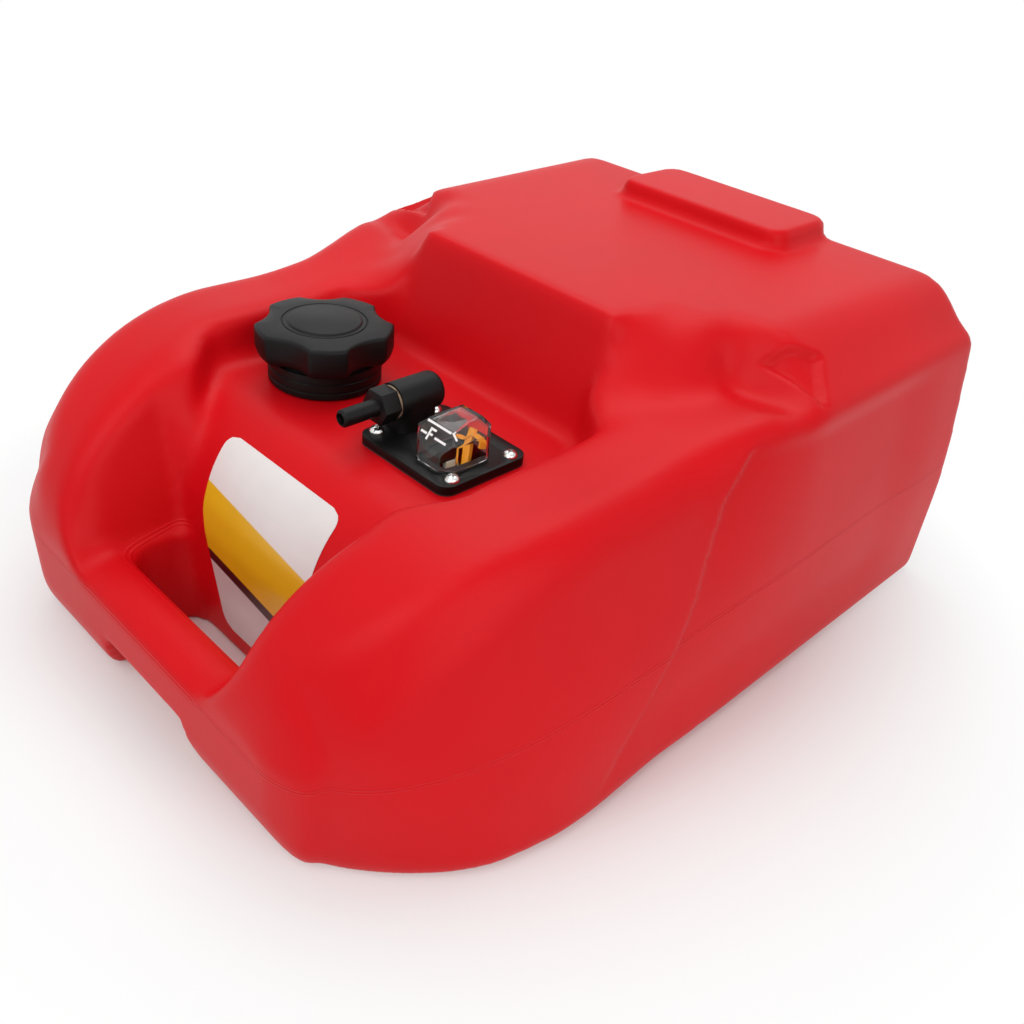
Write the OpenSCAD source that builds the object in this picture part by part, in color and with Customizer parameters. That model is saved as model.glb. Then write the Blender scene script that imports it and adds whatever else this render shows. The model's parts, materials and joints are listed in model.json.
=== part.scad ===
/* [Tank] */
// Length from the handle to the rear wall
tank_length = 463; // [450:1:480]
// Width at the parting line
tank_width = 376; // [360:1:400]
// Height of the flat rear top
top_height = 196; // [190:1:206]
// Width of the flat rear top
top_width = 276; // [260:1:290]
// Height of the lip that runs along the rear sides
lip_height = 169; // [162:1:174]
// Wall thickness of the moulded shell
wall = 3; // [2:0.5:4]
// Rounding of the rear edges
rear_round = 6; // [5:1:10]

/* [Deck and arms] */
// Length of the deck, from the rear block to the rolled front edge
deck_length = 128; // [122:1:136]
// Height of the deck that carries the cap and the gauge
deck_height = 130; // [124:1:134]
// Half the width of the well between the arms
well_half = 99; // [98:1:104]
// Height of the arms where they start to fall to the handle
arm_height = 152; // [148:1:158]
// Length over which the arms fall to the handle
arm_drop = 155; // [150:1:160]
// Length of the rolled front edge of the deck
roll_length = 49; // [44:1:54]

/* [Handle] */
// Depth of the handle bar, front to back
handle_depth = 27; // [24:1:30]
// Depth of the gap for the fingers
hand_gap = 37; // [33:1:42]
// Half the width of the gap for the fingers
hand_half = 61; // [56:1:66]
// Height of the top of the handle bar
handle_top = 58; // [54:1:62]
// Height of the underside of the handle bar
handle_under = 27; // [22:1:29]

/* [Rear rib] */
// Width of the rib across the rear top
rib_width = 132; // [110:1:150]
// Depth of the rib, front to back
rib_depth = 43; // [36:1:50]
// Height of the rib above the top
rib_height = 12; // [9:1:15]

/* [Cap] */
// Sideways place of the filler
cap_x = -58; // [-59:0.5:-56]
// Distance of the filler in front of the rear block
cap_ahead = 87; // [82:1:90]
// Radius of the filler's bore
neck_bore = 21.5; // [19:0.5:22]
// Wall of the filler neck
neck_wall = 3.5; // [3:0.5:4]
// Height of the neck above the deck
neck_height = 27; // [25:0.5:30]
// Radius over the grip lobes
grip_radius = 38; // [37:0.5:39]
// Number of grip lobes
grip_lobes = 5; // [4:1:6]
// Radius of the round hollows between the lobes
grip_hollow = 30; // [24:1:36]
// Depth of the hollows between the lobes
hollow_depth = 5.5; // [4:0.5:6]
// Height of the lobed part of the cap
grip_height = 19; // [17:0.5:21]
// Thickness of the cap gasket
cap_gasket_thick = 2; // [1.5:0.5:3]

/* [Pickup and gauge] */
// Sideways place of the plate's middle
plate_x = 43.6; // [42:0.2:45]
// Distance of the plate's middle in front of the rear block
plate_ahead = 88; // [84:1:91]
// Width of the plate
plate_w = 68; // [67:0.5:71]
// Depth of the plate
plate_d = 57; // [56:0.5:60]
// Thickness of the plate
plate_thick = 4.5; // [4:0.5:6]
// Thickness of the plate's gasket
seal_thick = 0.8; // [0.6:0.1:1.2]
// Radius of the hole in the deck under the plate
sender_hole = 23; // [22.5:0.1:23.5]
// Radius of the elbow's barrel
elbow_radius = 10; // [9.5:0.5:11]
// Height of the elbow's axis above the plate
elbow_rise = 15.5; // [14:0.5:17]
// Outer radius of the hose stub
stub_radius = 4.6; // [4:0.1:5.2]
// Length of the hose stub
stub_length = 21; // [17:1:24]
// Width of the clear lens
lens_w = 29.5; // [28:0.5:30]
// Depth of the clear lens
lens_d = 36; // [34:0.5:36.5]
// Height of the clear lens
lens_height = 21.4; // [20:0.2:24]
// Wall of the clear lens
lens_wall = 1.8; // [1.4:0.2:2.2]
// Distance from the gauge's pivot to the middle of the float
arm_length = 116; // [110:1:118]
// Height of the float above the tank's floor when the tank is empty
float_clear = 7.8; // [6:0.2:10]
// Lean of the pointer to the rear when the tank is empty
pointer_lean = 20; // [16:1:22]
// Length of the pointer from its pivot
pointer_length = 26; // [24:1:27]
// Radius of the float
float_radius = 15; // [12:0.5:16]
// Length of the float
float_length = 44; // [38:1:46]

/* [Label] */
// Width of the label
label_width = 97; // [84:1:100]
// Height of the label's top edge
label_top = 120; // [112:1:122]
// Height of the label's bottom edge
label_bottom = 14; // [10:1:24]
// Thickness of the label
label_thick = 0.35; // [0.25:0.05:0.5]

/* [Hidden] */
$fn = 48;
small = 0.01;
fit_gap = 0.05;
clear = 0.3;

// Tank form. A section lies across the tank at a distance d from the rear wall.
half_length = tank_length / 2;
half_width = tank_width / 2;
bay_back = tank_length - handle_depth - hand_gap;
bay_step = 1;
bay_wall = bay_back - bay_step;
roll_start = bay_back - roll_length;
block_length = roll_start - deck_length;
cap_back = block_length + cap_ahead;
plate_back = block_length + plate_ahead;
arm_start = tank_length - arm_drop;
nose_length = 15;
nose_turn = 72;
nose_drop = 10;
nose_narrow = 0.2;
nose_start = tank_length - nose_length;
nose_height = handle_top - nose_drop;
rear_taper = 1;
corner_lead = 22;
corner_start = block_length - corner_lead;
corner_spare = 3;
corner_power = 3;
root_power = 1 / 6;
slim_power = 0.45;
part_rear = 84;
part_front = 62;
arm_slope = 0.14;
arc_base = -4;
arc_spare = 5;
wall_length = 24;
edge_lead = 50;
edge_ramp = 34;
well_lead = 22;
well_ramp = 52;
arm_lead = 37;
arm_blend = 100;
ledge_run = 9;
ledge_rise = 4;
lip_inset = 12;
crest_inset = 36;
side_inset = 25;
side_drop = 12;
foot_flare = 6;
foot_pull = 20;
foot_run = 130;
foot_lead = 14;
foot_turn = bay_back - foot_lead;
foot_round = 9;
part_round = 26;
side_round = 10;
crest_round = 8;
edge_round = 16;
well_round = 9;
well_draft = 4;
well_share = 0.75;
well_bite = 6;
well_flare = 26;
roll_spare = 6;
bar_ledge = 3;
bend_share = 0.45;

function ease(t) = let (s = min(1, max(0, t))) s * s * (3 - 2 * s);
function mix(a, b, t) = a + (b - a) * t;
function quarter(t) = sqrt(max(0, 1 - t * t));
function arc(x, y, r, from, to, steps) = [for (i = [0:steps]) let (a = mix(from, to, i / steps))
    [x + r * cos(a), y + r * sin(a)]];
function round_share(d) = max(0, (d - corner_start) / (tank_length + corner_spare - corner_start));
function half_at(d) = half_width * pow(1 - pow(round_share(d), corner_power), root_power)
    - rear_taper * (1 - min(1, d / block_length));
function narrow(d) = d < arm_start ? 1 : pow(half_at(d) / half_at(arm_start), slim_power);
function arm_at(d) = d < arm_start ? arm_height + arm_slope * (arm_start - d)
    : arc_base + (arm_height - arc_base) * quarter((d - arm_start) / (arm_drop + arc_spare));
function floor_at(d) = d < block_length + wall_length
    ? mix(top_height, deck_height, min(1, max(0, (d - block_length) / wall_length)))
    : d < roll_start ? deck_height
    : handle_top + (deck_height - handle_top) * quarter(min(1, (d - roll_start) / roll_length));
function well_at(d) = let (back = block_length + wall_length)
    mix(mix(well_share, 1, ease((d - back + well_bite) / well_flare)) * well_half, hand_half + bar_ledge,
        ease((d - roll_start) / (roll_length - roll_spare)));
function foot_at(d) = foot_flare * ease((d - block_length) / foot_run)
    - foot_pull * ease((d - foot_turn) / (nose_start - foot_turn));

// Corners of half a section, from the middle of the underside round to the middle of the top,
// each with the length of its rounding.
function corners(d) =
    let (blend = ease((d - block_length + arm_lead) / arm_blend))
    let (fall = ease((d - block_length + edge_lead) / edge_ramp))
    let (ramp = ease((d - block_length + well_lead) / well_ramp))
    let (wide = half_at(d), arm = arm_at(d), slim = narrow(d), well = well_at(d))
    let (lip_x = half_width - lip_inset, crest_x = (half_width - crest_inset) * slim)
    let (well_top = mix(top_height, arm - well_draft, ramp))
    [
        [0, 0, 0],
        [wide + foot_at(d), 0, foot_round],
        [wide, mix(part_rear, part_front, d / tank_length), part_round],
        [mix(lip_x, (half_width - side_inset) * slim, blend),
         mix(lip_height, arm - side_drop, blend), side_round],
        [mix(lip_x - ledge_run, crest_x, blend), mix(lip_height + ledge_rise, arm, blend), crest_round],
        [mix(top_width / 2, (well_half + crest_x) / 2 * slim, fall), mix(top_height, arm, fall), edge_round],
        [well + well_draft, well_top, well_round],
        [well, min(floor_at(d), well_top), well_round],
        [0, floor_at(d), 0]
    ];

function toward(a, b, reach) = let (gap = norm(b - a))
    gap < small ? a : a + (b - a) * min(reach / gap, bend_share);
function bend(a, b, c, steps) = [for (i = [0:steps]) let (t = i / steps)
    a * (1 - t) * (1 - t) + b * 2 * t * (1 - t) + c * t * t];
function soft(list, steps) = let (flat = [for (p = list) [p[0], p[1]]])
    [for (i = [0:len(list) - 1]) each list[i][2] == 0 ? [flat[i]]
        : bend(toward(flat[i], flat[i - 1], list[i][2]), flat[i],
            toward(flat[i], flat[i + 1], list[i][2]), steps)];

// The ring closes by a quarter round at the rear and by a drawn-in nose at the handle.
function rear_pull(d) = d >= rear_round ? 0 : rear_round - sqrt(pow(rear_round, 2) - pow(rear_round - d, 2));
function nose_share(d) = max(0, (d - nose_start) / nose_length) * sin(nose_turn);
function shaped(p, d) = let (pull = rear_pull(d), t = nose_share(d), mid = top_height / 2)
    [p[0] * (1 - pull / half_width) * (1 - nose_narrow * pow(t, 3)),
     t > 0 ? nose_height + (p[1] - nose_height) * quarter(t) : mid + (p[1] - mid) * (1 - pull / mid)];
function half_ring(d, steps) = [for (p = soft(corners(min(d, nose_start)), steps)) shaped(p, d)];
function ring(d, steps) = let (half = half_ring(d, steps), last = len(half) - 1)
    [for (p = half) [p[0], half_length - d, p[1]],
     for (i = [last - 1:-1:1]) [-half[i][0], half_length - d, half[i][1]]];

function both_sides(half) = concat(half, [for (i = [len(half) - 1:-1:0]) [-half[i][0], half[i][1]]]);
function spread(a, b, count) = [for (i = [0:count - 1]) mix(a, b, i / count)];
fall_start = block_length - edge_lead;
wall_end = block_length + wall_length;
roll_stations = [for (i = [0:6]) mix(roll_start, bay_wall, sin(90 * i / 6))];
outer_stations = [for (a = [90, 45, 15]) rear_round * (1 - sin(a)),
    each spread(rear_round, fall_start, 2), each spread(fall_start, block_length, 5),
    each spread(block_length, wall_end, 3), each spread(wall_end, arm_start, 3),
    each spread(arm_start, roll_start, 2), each roll_stations, each spread(bay_back, nose_start, 4),
    for (a = [0, 28, 50, nose_turn]) nose_start + nose_length * sin(a) / sin(nose_turn)];

module loft(rings) {
    count = len(rings[0]);
    last = len(rings) - 1;
    points = [for (r = rings) each r];
    sides = [for (i = [0:last - 1], j = [0:count - 1]) let (k = (j + 1) % count)
        each [[i * count + j, (i + 1) * count + j, i * count + k],
              [i * count + k, (i + 1) * count + j, (i + 1) * count + k]]];
    near = [for (j = [0:count - 1]) j];
    far = [for (j = [0:count - 1]) last * count + (count - j) % count];
    polyhedron(points, concat([near], sides, [far]), convexity = 8);
}

// Helpers for plates and for pieces that lie along the tank.
module slab(w, d, r, h) {
    linear_extrude(h) {
        square([w, d - 2 * r], center = true);
        square([w - 2 * r, d], center = true);
        for (i = [-1, 1], j = [-1, 1])
            translate([i * (w / 2 - r), j * (d / 2 - r)]) circle(r);
    }
}

module at_back(x, d, z) {
    translate([x, half_length - d, z]) children();
}

module frontward(x, d, z) {
    at_back(x, d, z) rotate([90, 0, 0]) children();
}

module tube(outer, inner, h) {
    difference() {
        cylinder(r = outer, h = h);
        translate([0, 0, -1]) cylinder(r = inner, h = h + 2);
    }
}

// Tank
gap_round = 12;
section_steps = 2;
arch_flare = 41;
rib_round = 12;
rib_draft = 4;
rib_back = 1;
boss_radius = 5;
boss_depth = 10;
boss_floor = 2;
screw_radius = 2;
screw_inset_x = 5;
screw_inset_d = 9;
screw_x = plate_w / 2 - screw_inset_x;
screw_d = plate_d / 2 - screw_inset_d;
neck_radius = neck_bore + neck_wall;
neck_top = deck_height + neck_height;
mouth_step = 0.8;
mouth_spare = 0.5;

module at_screws(z) {
    for (i = [-1, 1], j = [-1, 1]) at_back(plate_x + i * screw_x, plate_back + j * screw_d, z) children();
}

module hand_opening() {
    at_back(0, bay_wall + hand_gap / 2, -1) slab(2 * hand_half, hand_gap, gap_round, deck_height);
    frontward(0, bay_back + hand_gap / 2, 0)
        linear_extrude(handle_depth + hand_gap)
            polygon([[-hand_half - arch_flare, -1], [hand_half + arch_flare, -1],
                     [hand_half + 1, handle_under], [-hand_half - 1, handle_under]]);
}

module rear_rib() {
    base = top_height - rear_round;
    intersection() {
        at_back(0, rib_depth / 2 - rib_round, base)
            slab(rib_width, rib_depth + 2 * rib_round, rib_round, rib_height + rear_round);
        translate([-rib_width, half_length, 0]) rotate([90, 0, 90]) linear_extrude(2 * rib_width)
            polygon([[-rib_back, base], [-rib_back, top_height + rib_height - rib_draft],
                     [-rib_back - rib_draft, top_height + rib_height],
                     [-rib_depth + rib_draft, top_height + rib_height], [-rib_depth, top_height - 1],
                     [-rib_depth, base]]);
    }
}

// The hollow is three overlapping spaces: under the rear top, behind the deck wall, and under the deck.
module hollow() {
    foot = 3 * wall;
    half = half_width - rear_taper - wall;
    deck = deck_height - wall;
    front = bay_wall - wall;
    overlap = 4 * wall;
    difference() {
        union() {
            frontward(0, rear_round / 2, 0) linear_extrude(fall_start - rear_round / 2)
                polygon(both_sides([[half - foot, wall], [half, wall + foot], [half, part_rear],
                    [half_width - lip_inset - wall, lip_height - wall],
                    [top_width / 2 - wall, top_height - wall]]));
            at_back(0, (fall_start + block_length) / 2 - overlap, part_rear)
                linear_extrude(top_height - part_rear - overlap)
                square([2 * well_half - overlap, block_length - fall_start], center = true);
            intersection() {
                frontward(0, fall_start - overlap, 0) linear_extrude(front - fall_start + overlap)
                    polygon(both_sides([[half - foot, wall + 1], [half - 1, wall + foot],
                        [half - 1, part_front], [half_width - crest_inset, deck], [0, deck]]));
                at_back(0, 0, 0) linear_extrude(top_height)
                    polygon(both_sides([[half, 0], [half, -arm_start], [half - foot_pull, -front - 1]]));
                translate([-half_width, half_length, 0]) rotate([90, 0, 90]) linear_extrude(2 * half_width)
                    polygon([[0, 0], [0, top_height], for (d = roll_stations) [wall - d, floor_at(d) - wall],
                        [-front - 1, 0]]);
            }
        }
        at_screws(deck - boss_depth) cylinder(r = boss_radius, h = boss_depth + wall);
    }
}

module tank_shell() {
    color("firebrick")
    difference() {
        union() {
            loft([for (d = outer_stations) ring(d, section_steps)]);
            rear_rib();
            at_back(cap_x, cap_back, deck_height - wall / 2)
                cylinder(r = neck_radius, h = neck_height + wall / 2);
        }
        hand_opening();
        hollow();
        at_back(cap_x, cap_back, deck_height - wall - 1) cylinder(r = neck_bore, h = neck_height + wall + 2);
        at_back(cap_x, cap_back, mouth_foot) cylinder(r = neck_bore + mouth_step, h = neck_height);
        at_back(plate_x, plate_back, deck_height - wall - 1) cylinder(r = sender_hole, h = wall + 2);
        at_screws(deck_height - wall - boss_depth + boss_floor)
            cylinder(r = screw_radius + fit_gap, h = boss_depth + wall);
    }
}

// The label follows the facets of the roll and the upright wall under it.
label_gap = 0.02;
label_round = 8;
label_waist = 80;
label_taper = 1.5;
label_foot = 29;
label_turn = 20;
label_run = [for (d = roll_stations) [d, floor_at(d)], [bay_wall, label_bottom - 1]];

module tank_label() {
    half = label_width / 2;
    top_arc = arc(half - label_round, label_top - label_round, label_round, 0, 90, 6);
    foot_arc = arc(label_foot - label_round, label_bottom + label_round, label_round, -90, -label_turn, 6);
    side = concat(foot_arc, [[half - label_taper, label_waist]], top_arc);
    color("whitesmoke")
    intersection() {
        translate([-half, half_length, 0]) rotate([90, 0, 90]) linear_extrude(label_width)
            polygon(concat([for (p = label_run) [-p[0] - label_gap, p[1] + label_gap]],
                [for (i = [len(label_run) - 1:-1:0])
                    [-label_run[i][0] - label_gap - label_thick, label_run[i][1] + label_gap + label_thick]]));
        frontward(0, roll_start, 0) linear_extrude(roll_length + 2)
            polygon(concat(side, [for (i = [len(side) - 1:-1:0]) [-side[i][0], side[i][1]]]));
    }
}

// Cap
insert_gap = 1.2;
gasket_inset = 0.6;
insert_wall = 3.3;
insert_foot = 1;
insert_radius = neck_radius + insert_gap + insert_wall;
collar_step = 2;
collar_radius = insert_radius + collar_step;
seat_top = neck_top + cap_gasket_thick;
insert_top = seat_top + insert_wall;
crown = 1.7;
disc_radius = 20;
disc_rise = 1;
shell_top = insert_top + crown;
shell_foot = shell_top - grip_height;
shell_round = 5;
shell_chamfer = 2;
lobe_angle = -33;
vent_hole = 4;
cage_radius = 10;
cage_wall = 1.8;
cage_depth = 13;
cage_floor = 1.5;
cage_window = 2.5;
stem_radius = 2;
poppet_radius = 7.5;
poppet_thick = 2;
poppet_gap = 0.1;
vent_travel = 2;
cage_foot = seat_top - cage_depth;
mouth_foot = cage_foot - vent_travel - mouth_spare;
poppet_foot = seat_top - poppet_gap - poppet_thick;
spring_radius = 4.2;
spring_wire = 0.5;
spring_turns = 5;

module at_cap(z) {
    at_back(cap_x, cap_back, z) children();
}

module cap_shell() {
    color("#1c1c1c")
    difference() {
        union() {
            intersection() {
                at_cap(shell_foot) rotate(lobe_angle) linear_extrude(grip_height) difference() {
                    circle(grip_radius);
                    for (i = [0:grip_lobes - 1]) rotate((i + 0.5) * 360 / grip_lobes)
                        translate([grip_radius + grip_hollow - hollow_depth, 0]) circle(grip_hollow);
                }
                at_cap(shell_foot) rotate_extrude()
                    polygon(concat([[0, 0], [grip_radius - shell_chamfer, 0], [grip_radius, shell_chamfer]],
                        arc(grip_radius - shell_round, grip_height - shell_round, shell_round, 0, 90, 6),
                        [[0, grip_height]]));
            }
            at_cap(shell_top - 1) cylinder(r = disc_radius, h = disc_rise + 1);
        }
        at_cap(shell_foot - 1) cylinder(r = insert_radius + fit_gap, h = insert_top - shell_foot + 1);
    }
}

module cap_insert() {
    foot = deck_height + insert_foot;
    color("#161616")
    at_cap(0) rotate_extrude()
        polygon([[neck_radius + insert_gap, foot], [collar_radius, foot], [collar_radius, shell_foot],
                 [insert_radius, shell_foot], [insert_radius, insert_top], [vent_hole, insert_top],
                 [vent_hole, seat_top], [neck_radius + insert_gap, seat_top]]);
}

module cap_gasket() {
    color("#303030") at_cap(neck_top)
        tube(neck_radius + insert_gap / 2, neck_bore + gasket_inset, cap_gasket_thick);
}

module vent_cage() {
    color("#d8d4c8")
    difference() {
        at_cap(cage_foot) cylinder(r = cage_radius, h = cage_depth);
        at_cap(cage_foot + cage_floor) cylinder(r = cage_radius - cage_wall, h = cage_depth);
        at_cap(cage_foot - 1) cylinder(r = stem_radius + clear, h = cage_floor + 2);
        for (i = [0:3]) at_cap(cage_foot + cage_depth / 2) rotate([90, 0, 90 * i])
            cylinder(r = cage_window, h = cage_radius + 1);
    }
}

module vent_poppet() {
    color("#b04030") {
        at_cap(poppet_foot) cylinder(r = poppet_radius, h = poppet_thick);
        at_cap(cage_foot - vent_travel) cylinder(r = stem_radius, h = poppet_foot - cage_foot + vent_travel);
    }
}

// A round wire wound into a helix, with flat ends.
function coil_point(t, rise) =
    [spring_radius * cos(360 * t), spring_radius * sin(360 * t), rise * t / spring_turns];
module vent_spring() {
    rise = poppet_foot - cage_foot - cage_floor - 2 * spring_wire - 2 * fit_gap;
    sides = 6;
    steps = spring_turns * 12;
    color("silver") at_cap(cage_foot + cage_floor + spring_wire + fit_gap)
        loft([for (i = [steps:-1:0]) let (t = i / 12)
            [for (j = [0:sides - 1]) let (a = 360 * j / sides)
                coil_point(t, rise) + spring_wire * [cos(a) * cos(360 * t), cos(a) * sin(360 * t), sin(a)]]]);
}

// Pickup plate
plate_round = 7;
plate_foot = deck_height + seal_thick;
plate_top = plate_foot + plate_thick;
spigot_gap = 0.5;
spigot_wall = 2;
spigot_depth = 4.3;
elbow_inset = 7.4;
elbow_x = plate_x - plate_w / 2 + elbow_inset;
elbow_z = plate_top + elbow_rise;
elbow_length = 29;
elbow_reach = 12;
elbow_front = plate_back + elbow_reach;
elbow_back = elbow_front - elbow_length;
elbow_round = 4;
tower_d = 24;
tower_round = 6;
socket_radius = 6;
socket_depth = 10;
duct_radius = 3;
pickup_offset = 15.6;
pickup_x = plate_x - pickup_offset;
pickup_radius = 4;
pickup_wall = 1;
pickup_socket = 6;
cup_radius = 6;
cup_depth = 8.8;
strainer_radius = 7;
strainer_foot = 2;
strainer_height = 15;
strainer_slot = 2.5;
strainer_base = 1.5;
screw_clear = 0.3;
screw_head = 4;
head_height = 2.8;
head_dome = 9;
screw_spare = 3;
washer_thick = 1;
washer_inset = 1.2;
hex_across = 17;
hex_length = 10;
stub_bore = 3;
tip_taper = 1.2;
gauge_offset = 11.9;
gauge_x = plate_x + gauge_offset;
slot_w = 12;
slot_d = 28;

module plate_gasket() {
    color("#202020")
    difference() {
        at_back(plate_x, plate_back, deck_height) slab(plate_w, plate_d, plate_round, seal_thick);
        at_back(plate_x, plate_back, deck_height - 1) cylinder(r = sender_hole, h = seal_thick + 2);
        at_screws(deck_height - 1) cylinder(r = screw_radius + screw_clear, h = seal_thick + 2);
    }
}

module pickup_head() {
    run = pickup_x - elbow_x;
    drop = elbow_z - plate_foot + cup_depth - pickup_socket;
    color("#1a1a1a")
    difference() {
        union() {
            at_back(plate_x, plate_back, plate_foot) slab(plate_w, plate_d, plate_round, plate_thick);
            at_back(plate_x, plate_back, plate_foot - spigot_depth)
                tube(sender_hole - spigot_gap, sender_hole - spigot_gap - spigot_wall, spigot_depth + 1);
            at_back(pickup_x, plate_back, plate_foot - cup_depth) cylinder(r = cup_radius, h = cup_depth + 1);
            at_back(elbow_x, elbow_front - tower_d / 2, plate_top - 1)
                slab(2 * elbow_radius, tower_d, tower_round, elbow_rise + 1);
            frontward(elbow_x, elbow_back, elbow_z) rotate_extrude()
                polygon(concat([[0, 0]], arc(elbow_radius - elbow_round, elbow_round, elbow_round, -90, 0, 6),
                    [[elbow_radius, elbow_length], [0, elbow_length]]));
        }
        frontward(elbow_x, elbow_front - socket_depth, elbow_z)
            cylinder(r = socket_radius, h = socket_depth + 1);
        frontward(elbow_x, plate_back - duct_radius, elbow_z) cylinder(r = duct_radius, h = tower_d / 2);
        at_back(pickup_x, plate_back, plate_foot - cup_depth + pickup_socket)
            rotate([0, -atan2(run, drop), 0]) cylinder(r = duct_radius, h = norm([run, drop]));
        at_back(pickup_x, plate_back, plate_foot - cup_depth - 1)
            cylinder(r = pickup_radius + fit_gap, h = pickup_socket + 1);
        at_back(gauge_x, plate_back, plate_foot) translate([-slot_w / 2, -slot_d / 2, -small])
            cube([slot_w, slot_d, plate_thick + 1]);
        at_screws(plate_foot - 1) cylinder(r = screw_radius + screw_clear, h = plate_thick + 2);
    }
}

module barb_washer() {
    color("#8a8478") frontward(elbow_x, elbow_front, elbow_z)
        tube(elbow_radius - washer_inset, socket_radius, washer_thick);
}

module hose_barb() {
    hex_back = elbow_front + washer_thick;
    color("#181818")
    difference() {
        union() {
            frontward(elbow_x, elbow_front - socket_depth + 1, elbow_z)
                cylinder(r = socket_radius - fit_gap, h = socket_depth + washer_thick);
            frontward(elbow_x, hex_back, elbow_z) cylinder(d = hex_across / cos(30), h = hex_length, $fn = 6);
            frontward(elbow_x, hex_back + hex_length - 1, elbow_z) rotate_extrude()
                polygon([[0, 0], [stub_radius, 0], [stub_radius, stub_length],
                         [stub_radius - tip_taper, stub_length + tip_taper], [0, stub_length + tip_taper]]);
        }
        frontward(elbow_x, elbow_front - socket_depth, elbow_z)
            cylinder(r = stub_bore, h = socket_depth + washer_thick + hex_length + stub_length + 3);
    }
}

module pickup_tube() {
    top = plate_foot - cup_depth + pickup_socket;
    foot = wall + strainer_foot + strainer_height - pickup_socket;
    color("#d0d0c8") at_back(pickup_x, plate_back, foot)
        tube(pickup_radius, pickup_radius - pickup_wall, top - foot);
}

module pickup_strainer() {
    foot = wall + strainer_foot;
    color("#e6e0d0")
    difference() {
        at_back(pickup_x, plate_back, foot) cylinder(r = strainer_radius, h = strainer_height);
        at_back(pickup_x, plate_back, foot + strainer_base)
            cylinder(r = pickup_radius - pickup_wall, h = strainer_height);
        at_back(pickup_x, plate_back, foot + strainer_height - pickup_socket)
            cylinder(r = pickup_radius + fit_gap, h = pickup_socket + 1);
        for (i = [0:3]) at_back(pickup_x, plate_back, foot + strainer_slot) rotate(90 * i)
            translate([pickup_radius / 2, -strainer_slot / 2, 0])
            cube([strainer_radius, strainer_slot, strainer_slot * 2]);
    }
}

module plate_screws() {
    tip = screw_spare - plate_thick - seal_thick - wall - boss_depth;
    tilt = acos(screw_head / head_dome);
    color("silver") at_screws(plate_top) rotate_extrude()
        polygon(concat([[0, tip], [screw_radius, tip], [screw_radius, 0], [screw_head, 0]],
            arc(0, head_height - head_dome, head_dome, tilt, 90, 6)));
}

// Gauge
pivot_drop = 8.8;
pivot_z = plate_foot - pivot_drop;
empty_angle = asin((pivot_z - wall - float_radius - float_clear) / arm_length);
ear_pitch = 6.5;
ear_thick = 2.5;
ear_d = 7;
ear_below = 10;
bar_d = 4;
bar_thick = 2;
pin_radius = 1.5;
pin_spare = 0.5;
hub_radius = 5.5;
hub_gap = 0.25;
wire_radius = 1.5;
wire_start = 2.4;
blade_w = 4;
blade_thick = 2.2;
stop_radius = 3.5;
stop_thick = 2;
wire_spare = 4;
hub_half = ear_pitch - ear_thick / 2 - hub_gap;

module at_pivot() {
    at_back(gauge_x, plate_back, pivot_z) children();
}

// Along the float arm as it hangs when the tank is empty.
module along_arm(reach) {
    at_pivot() rotate([-90 - empty_angle, 0, 0]) translate([0, 0, reach]) children();
}

module gauge_bracket() {
    color("#c9c4b4")
    difference() {
        union() {
            for (i = [-1, 1]) at_pivot() translate([i * ear_pitch - ear_thick / 2, -ear_d / 2, -ear_below])
                cube([ear_thick, ear_d, ear_below + pivot_drop]);
            at_pivot() translate([-ear_pitch, -ear_d / 2, -ear_below]) cube([2 * ear_pitch, bar_d, bar_thick]);
        }
        at_pivot() rotate([0, 90, 0]) cylinder(r = pin_radius + fit_gap / 2, h = 4 * ear_pitch, center = true);
    }
}

module gauge_pin() {
    color("silver") at_pivot() rotate([0, 90, 0])
        cylinder(r = pin_radius, h = 2 * ear_pitch + ear_thick + pin_spare, center = true);
}

module gauge_pointer() {
    color("orange")
    difference() {
        union() {
            at_pivot() rotate([0, 90, 0]) cylinder(r = hub_radius, h = 2 * hub_half, center = true);
            at_pivot() rotate([-pointer_lean, 0, 0]) translate([-blade_w / 2, -blade_thick / 2, hub_radius - 1])
                cube([blade_w, blade_thick, pointer_length - hub_radius + 1]);
        }
        at_pivot() rotate([0, 90, 0]) cylinder(r = pin_radius + fit_gap, h = 4 * ear_pitch, center = true);
        along_arm(wire_start) cylinder(r = wire_radius + fit_gap, h = hub_radius);
    }
}

module float_arm() {
    color("silver") along_arm(wire_start)
        cylinder(r = wire_radius, h = arm_length + float_radius + wire_spare - wire_start);
}

module gauge_float() {
    color("#2b2b2b")
    difference() {
        along_arm(arm_length) rotate([0, 90, 0]) cylinder(r = float_radius, h = float_length, center = true);
        along_arm(arm_length - float_radius - 1) cylinder(r = wire_radius + fit_gap, h = 2 * float_radius + 2);
    }
}

module float_stop() {
    color("#b8b8b0") along_arm(arm_length + float_radius + fit_gap)
        tube(stop_radius, wire_radius + fit_gap, stop_thick);
}

// Lens: an arched outline along the tank, cut by bevels at both ends.
lens_offset = 4;
lens_back = plate_back + lens_offset;
lens_foot = plate_top + seal_thick;
lens_bevel = 7.5;
upright = 10;
front_run = 8.5;
crown_front = 12.5;
crown_lead = 7;
crown_back = 6.5;
brow = 2;
front_lean = 1.5;
rear_lean = 1;
rear_drop = 7.5;
bevel_share = 0.6;

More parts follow.
